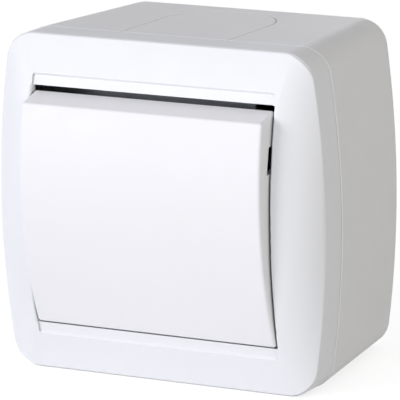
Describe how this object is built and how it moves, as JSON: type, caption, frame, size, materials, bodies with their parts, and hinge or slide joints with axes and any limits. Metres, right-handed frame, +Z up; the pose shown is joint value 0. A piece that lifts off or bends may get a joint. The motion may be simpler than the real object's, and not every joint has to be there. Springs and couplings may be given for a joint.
{
  "type": "surface mounted light switch",
  "caption": "Surface mounted one-gang light switch: domed frame, full-width rocker, tapered back box and a snap-action contact mechanism.",
  "frame": {"origin": "centre of the rear face that lies against the wall", "axes": "+X to the right seen from the front, +Y into the wall, +Z up; the rocker faces -Y"},
  "size_m": [0.085, 0.0594, 0.08],
  "materials": {
    "white_plastic": "satin",
    "grey_insulator": "matte",
    "natural_acetal": "satin",
    "plated_sheet": "satin",
    "plated_screw": "satin",
    "spring_wire": "satin",
    "terminal_brass": "satin",
    "contact_silver": "satin"
  },
  "bodies": {
    "housing": {"back_box": "white_plastic", "front_frame": "white_plastic", "mounting_plate": "plated_sheet", "mechanism_body": "grey_insulator", "mechanism_cover": "grey_insulator", "common_terminal": "terminal_brass", "switched_terminal": "terminal_brass", "fixed_contact": "contact_silver", "mounting_screw_left": "plated_screw", "mounting_screw_right": "plated_screw", "plate_rivet_left": "plated_sheet", "plate_rivet_right": "plated_sheet", "clamp_plate_common": "plated_screw", "clamp_plate_switched": "plated_screw", "terminal_screw_common": "plated_screw", "terminal_screw_switched": "plated_screw"},
    "key": {"rocker": "white_plastic", "cradle": "natural_acetal", "plunger_spring": "spring_wire"},
    "pin": {"plunger": "natural_acetal"},
    "lever": {"contact_lever": "terminal_brass", "moving_contact": "contact_silver"}
  },
  "joints": [
    {"name": "rocker_tilt", "type": "hinge", "parent": "housing", "child": "key", "pos_m": [0, -0.041, 0], "axis": [1, 0, 0], "range_deg": [-11.4, 0]},
    {"name": "contact_tilt", "type": "hinge", "parent": "housing", "child": "lever", "pos_m": [0, -0.024, 0], "axis": [1, 0, 0], "range_deg": [0, 16]},
    {"name": "plunger_slide", "type": "slide", "parent": "key", "child": "pin", "axis": [0, -0.9951, -0.0993], "range_m": [0, 0.0008], "stiffness_N_per_m": 600, "springref_m": -0.002, "deforming": ["plunger_spring"]}
  ],
  "couplings": [
    {"joint": "contact_tilt", "follows": "rocker_tilt", "ratio": -1.4035}
  ]
}
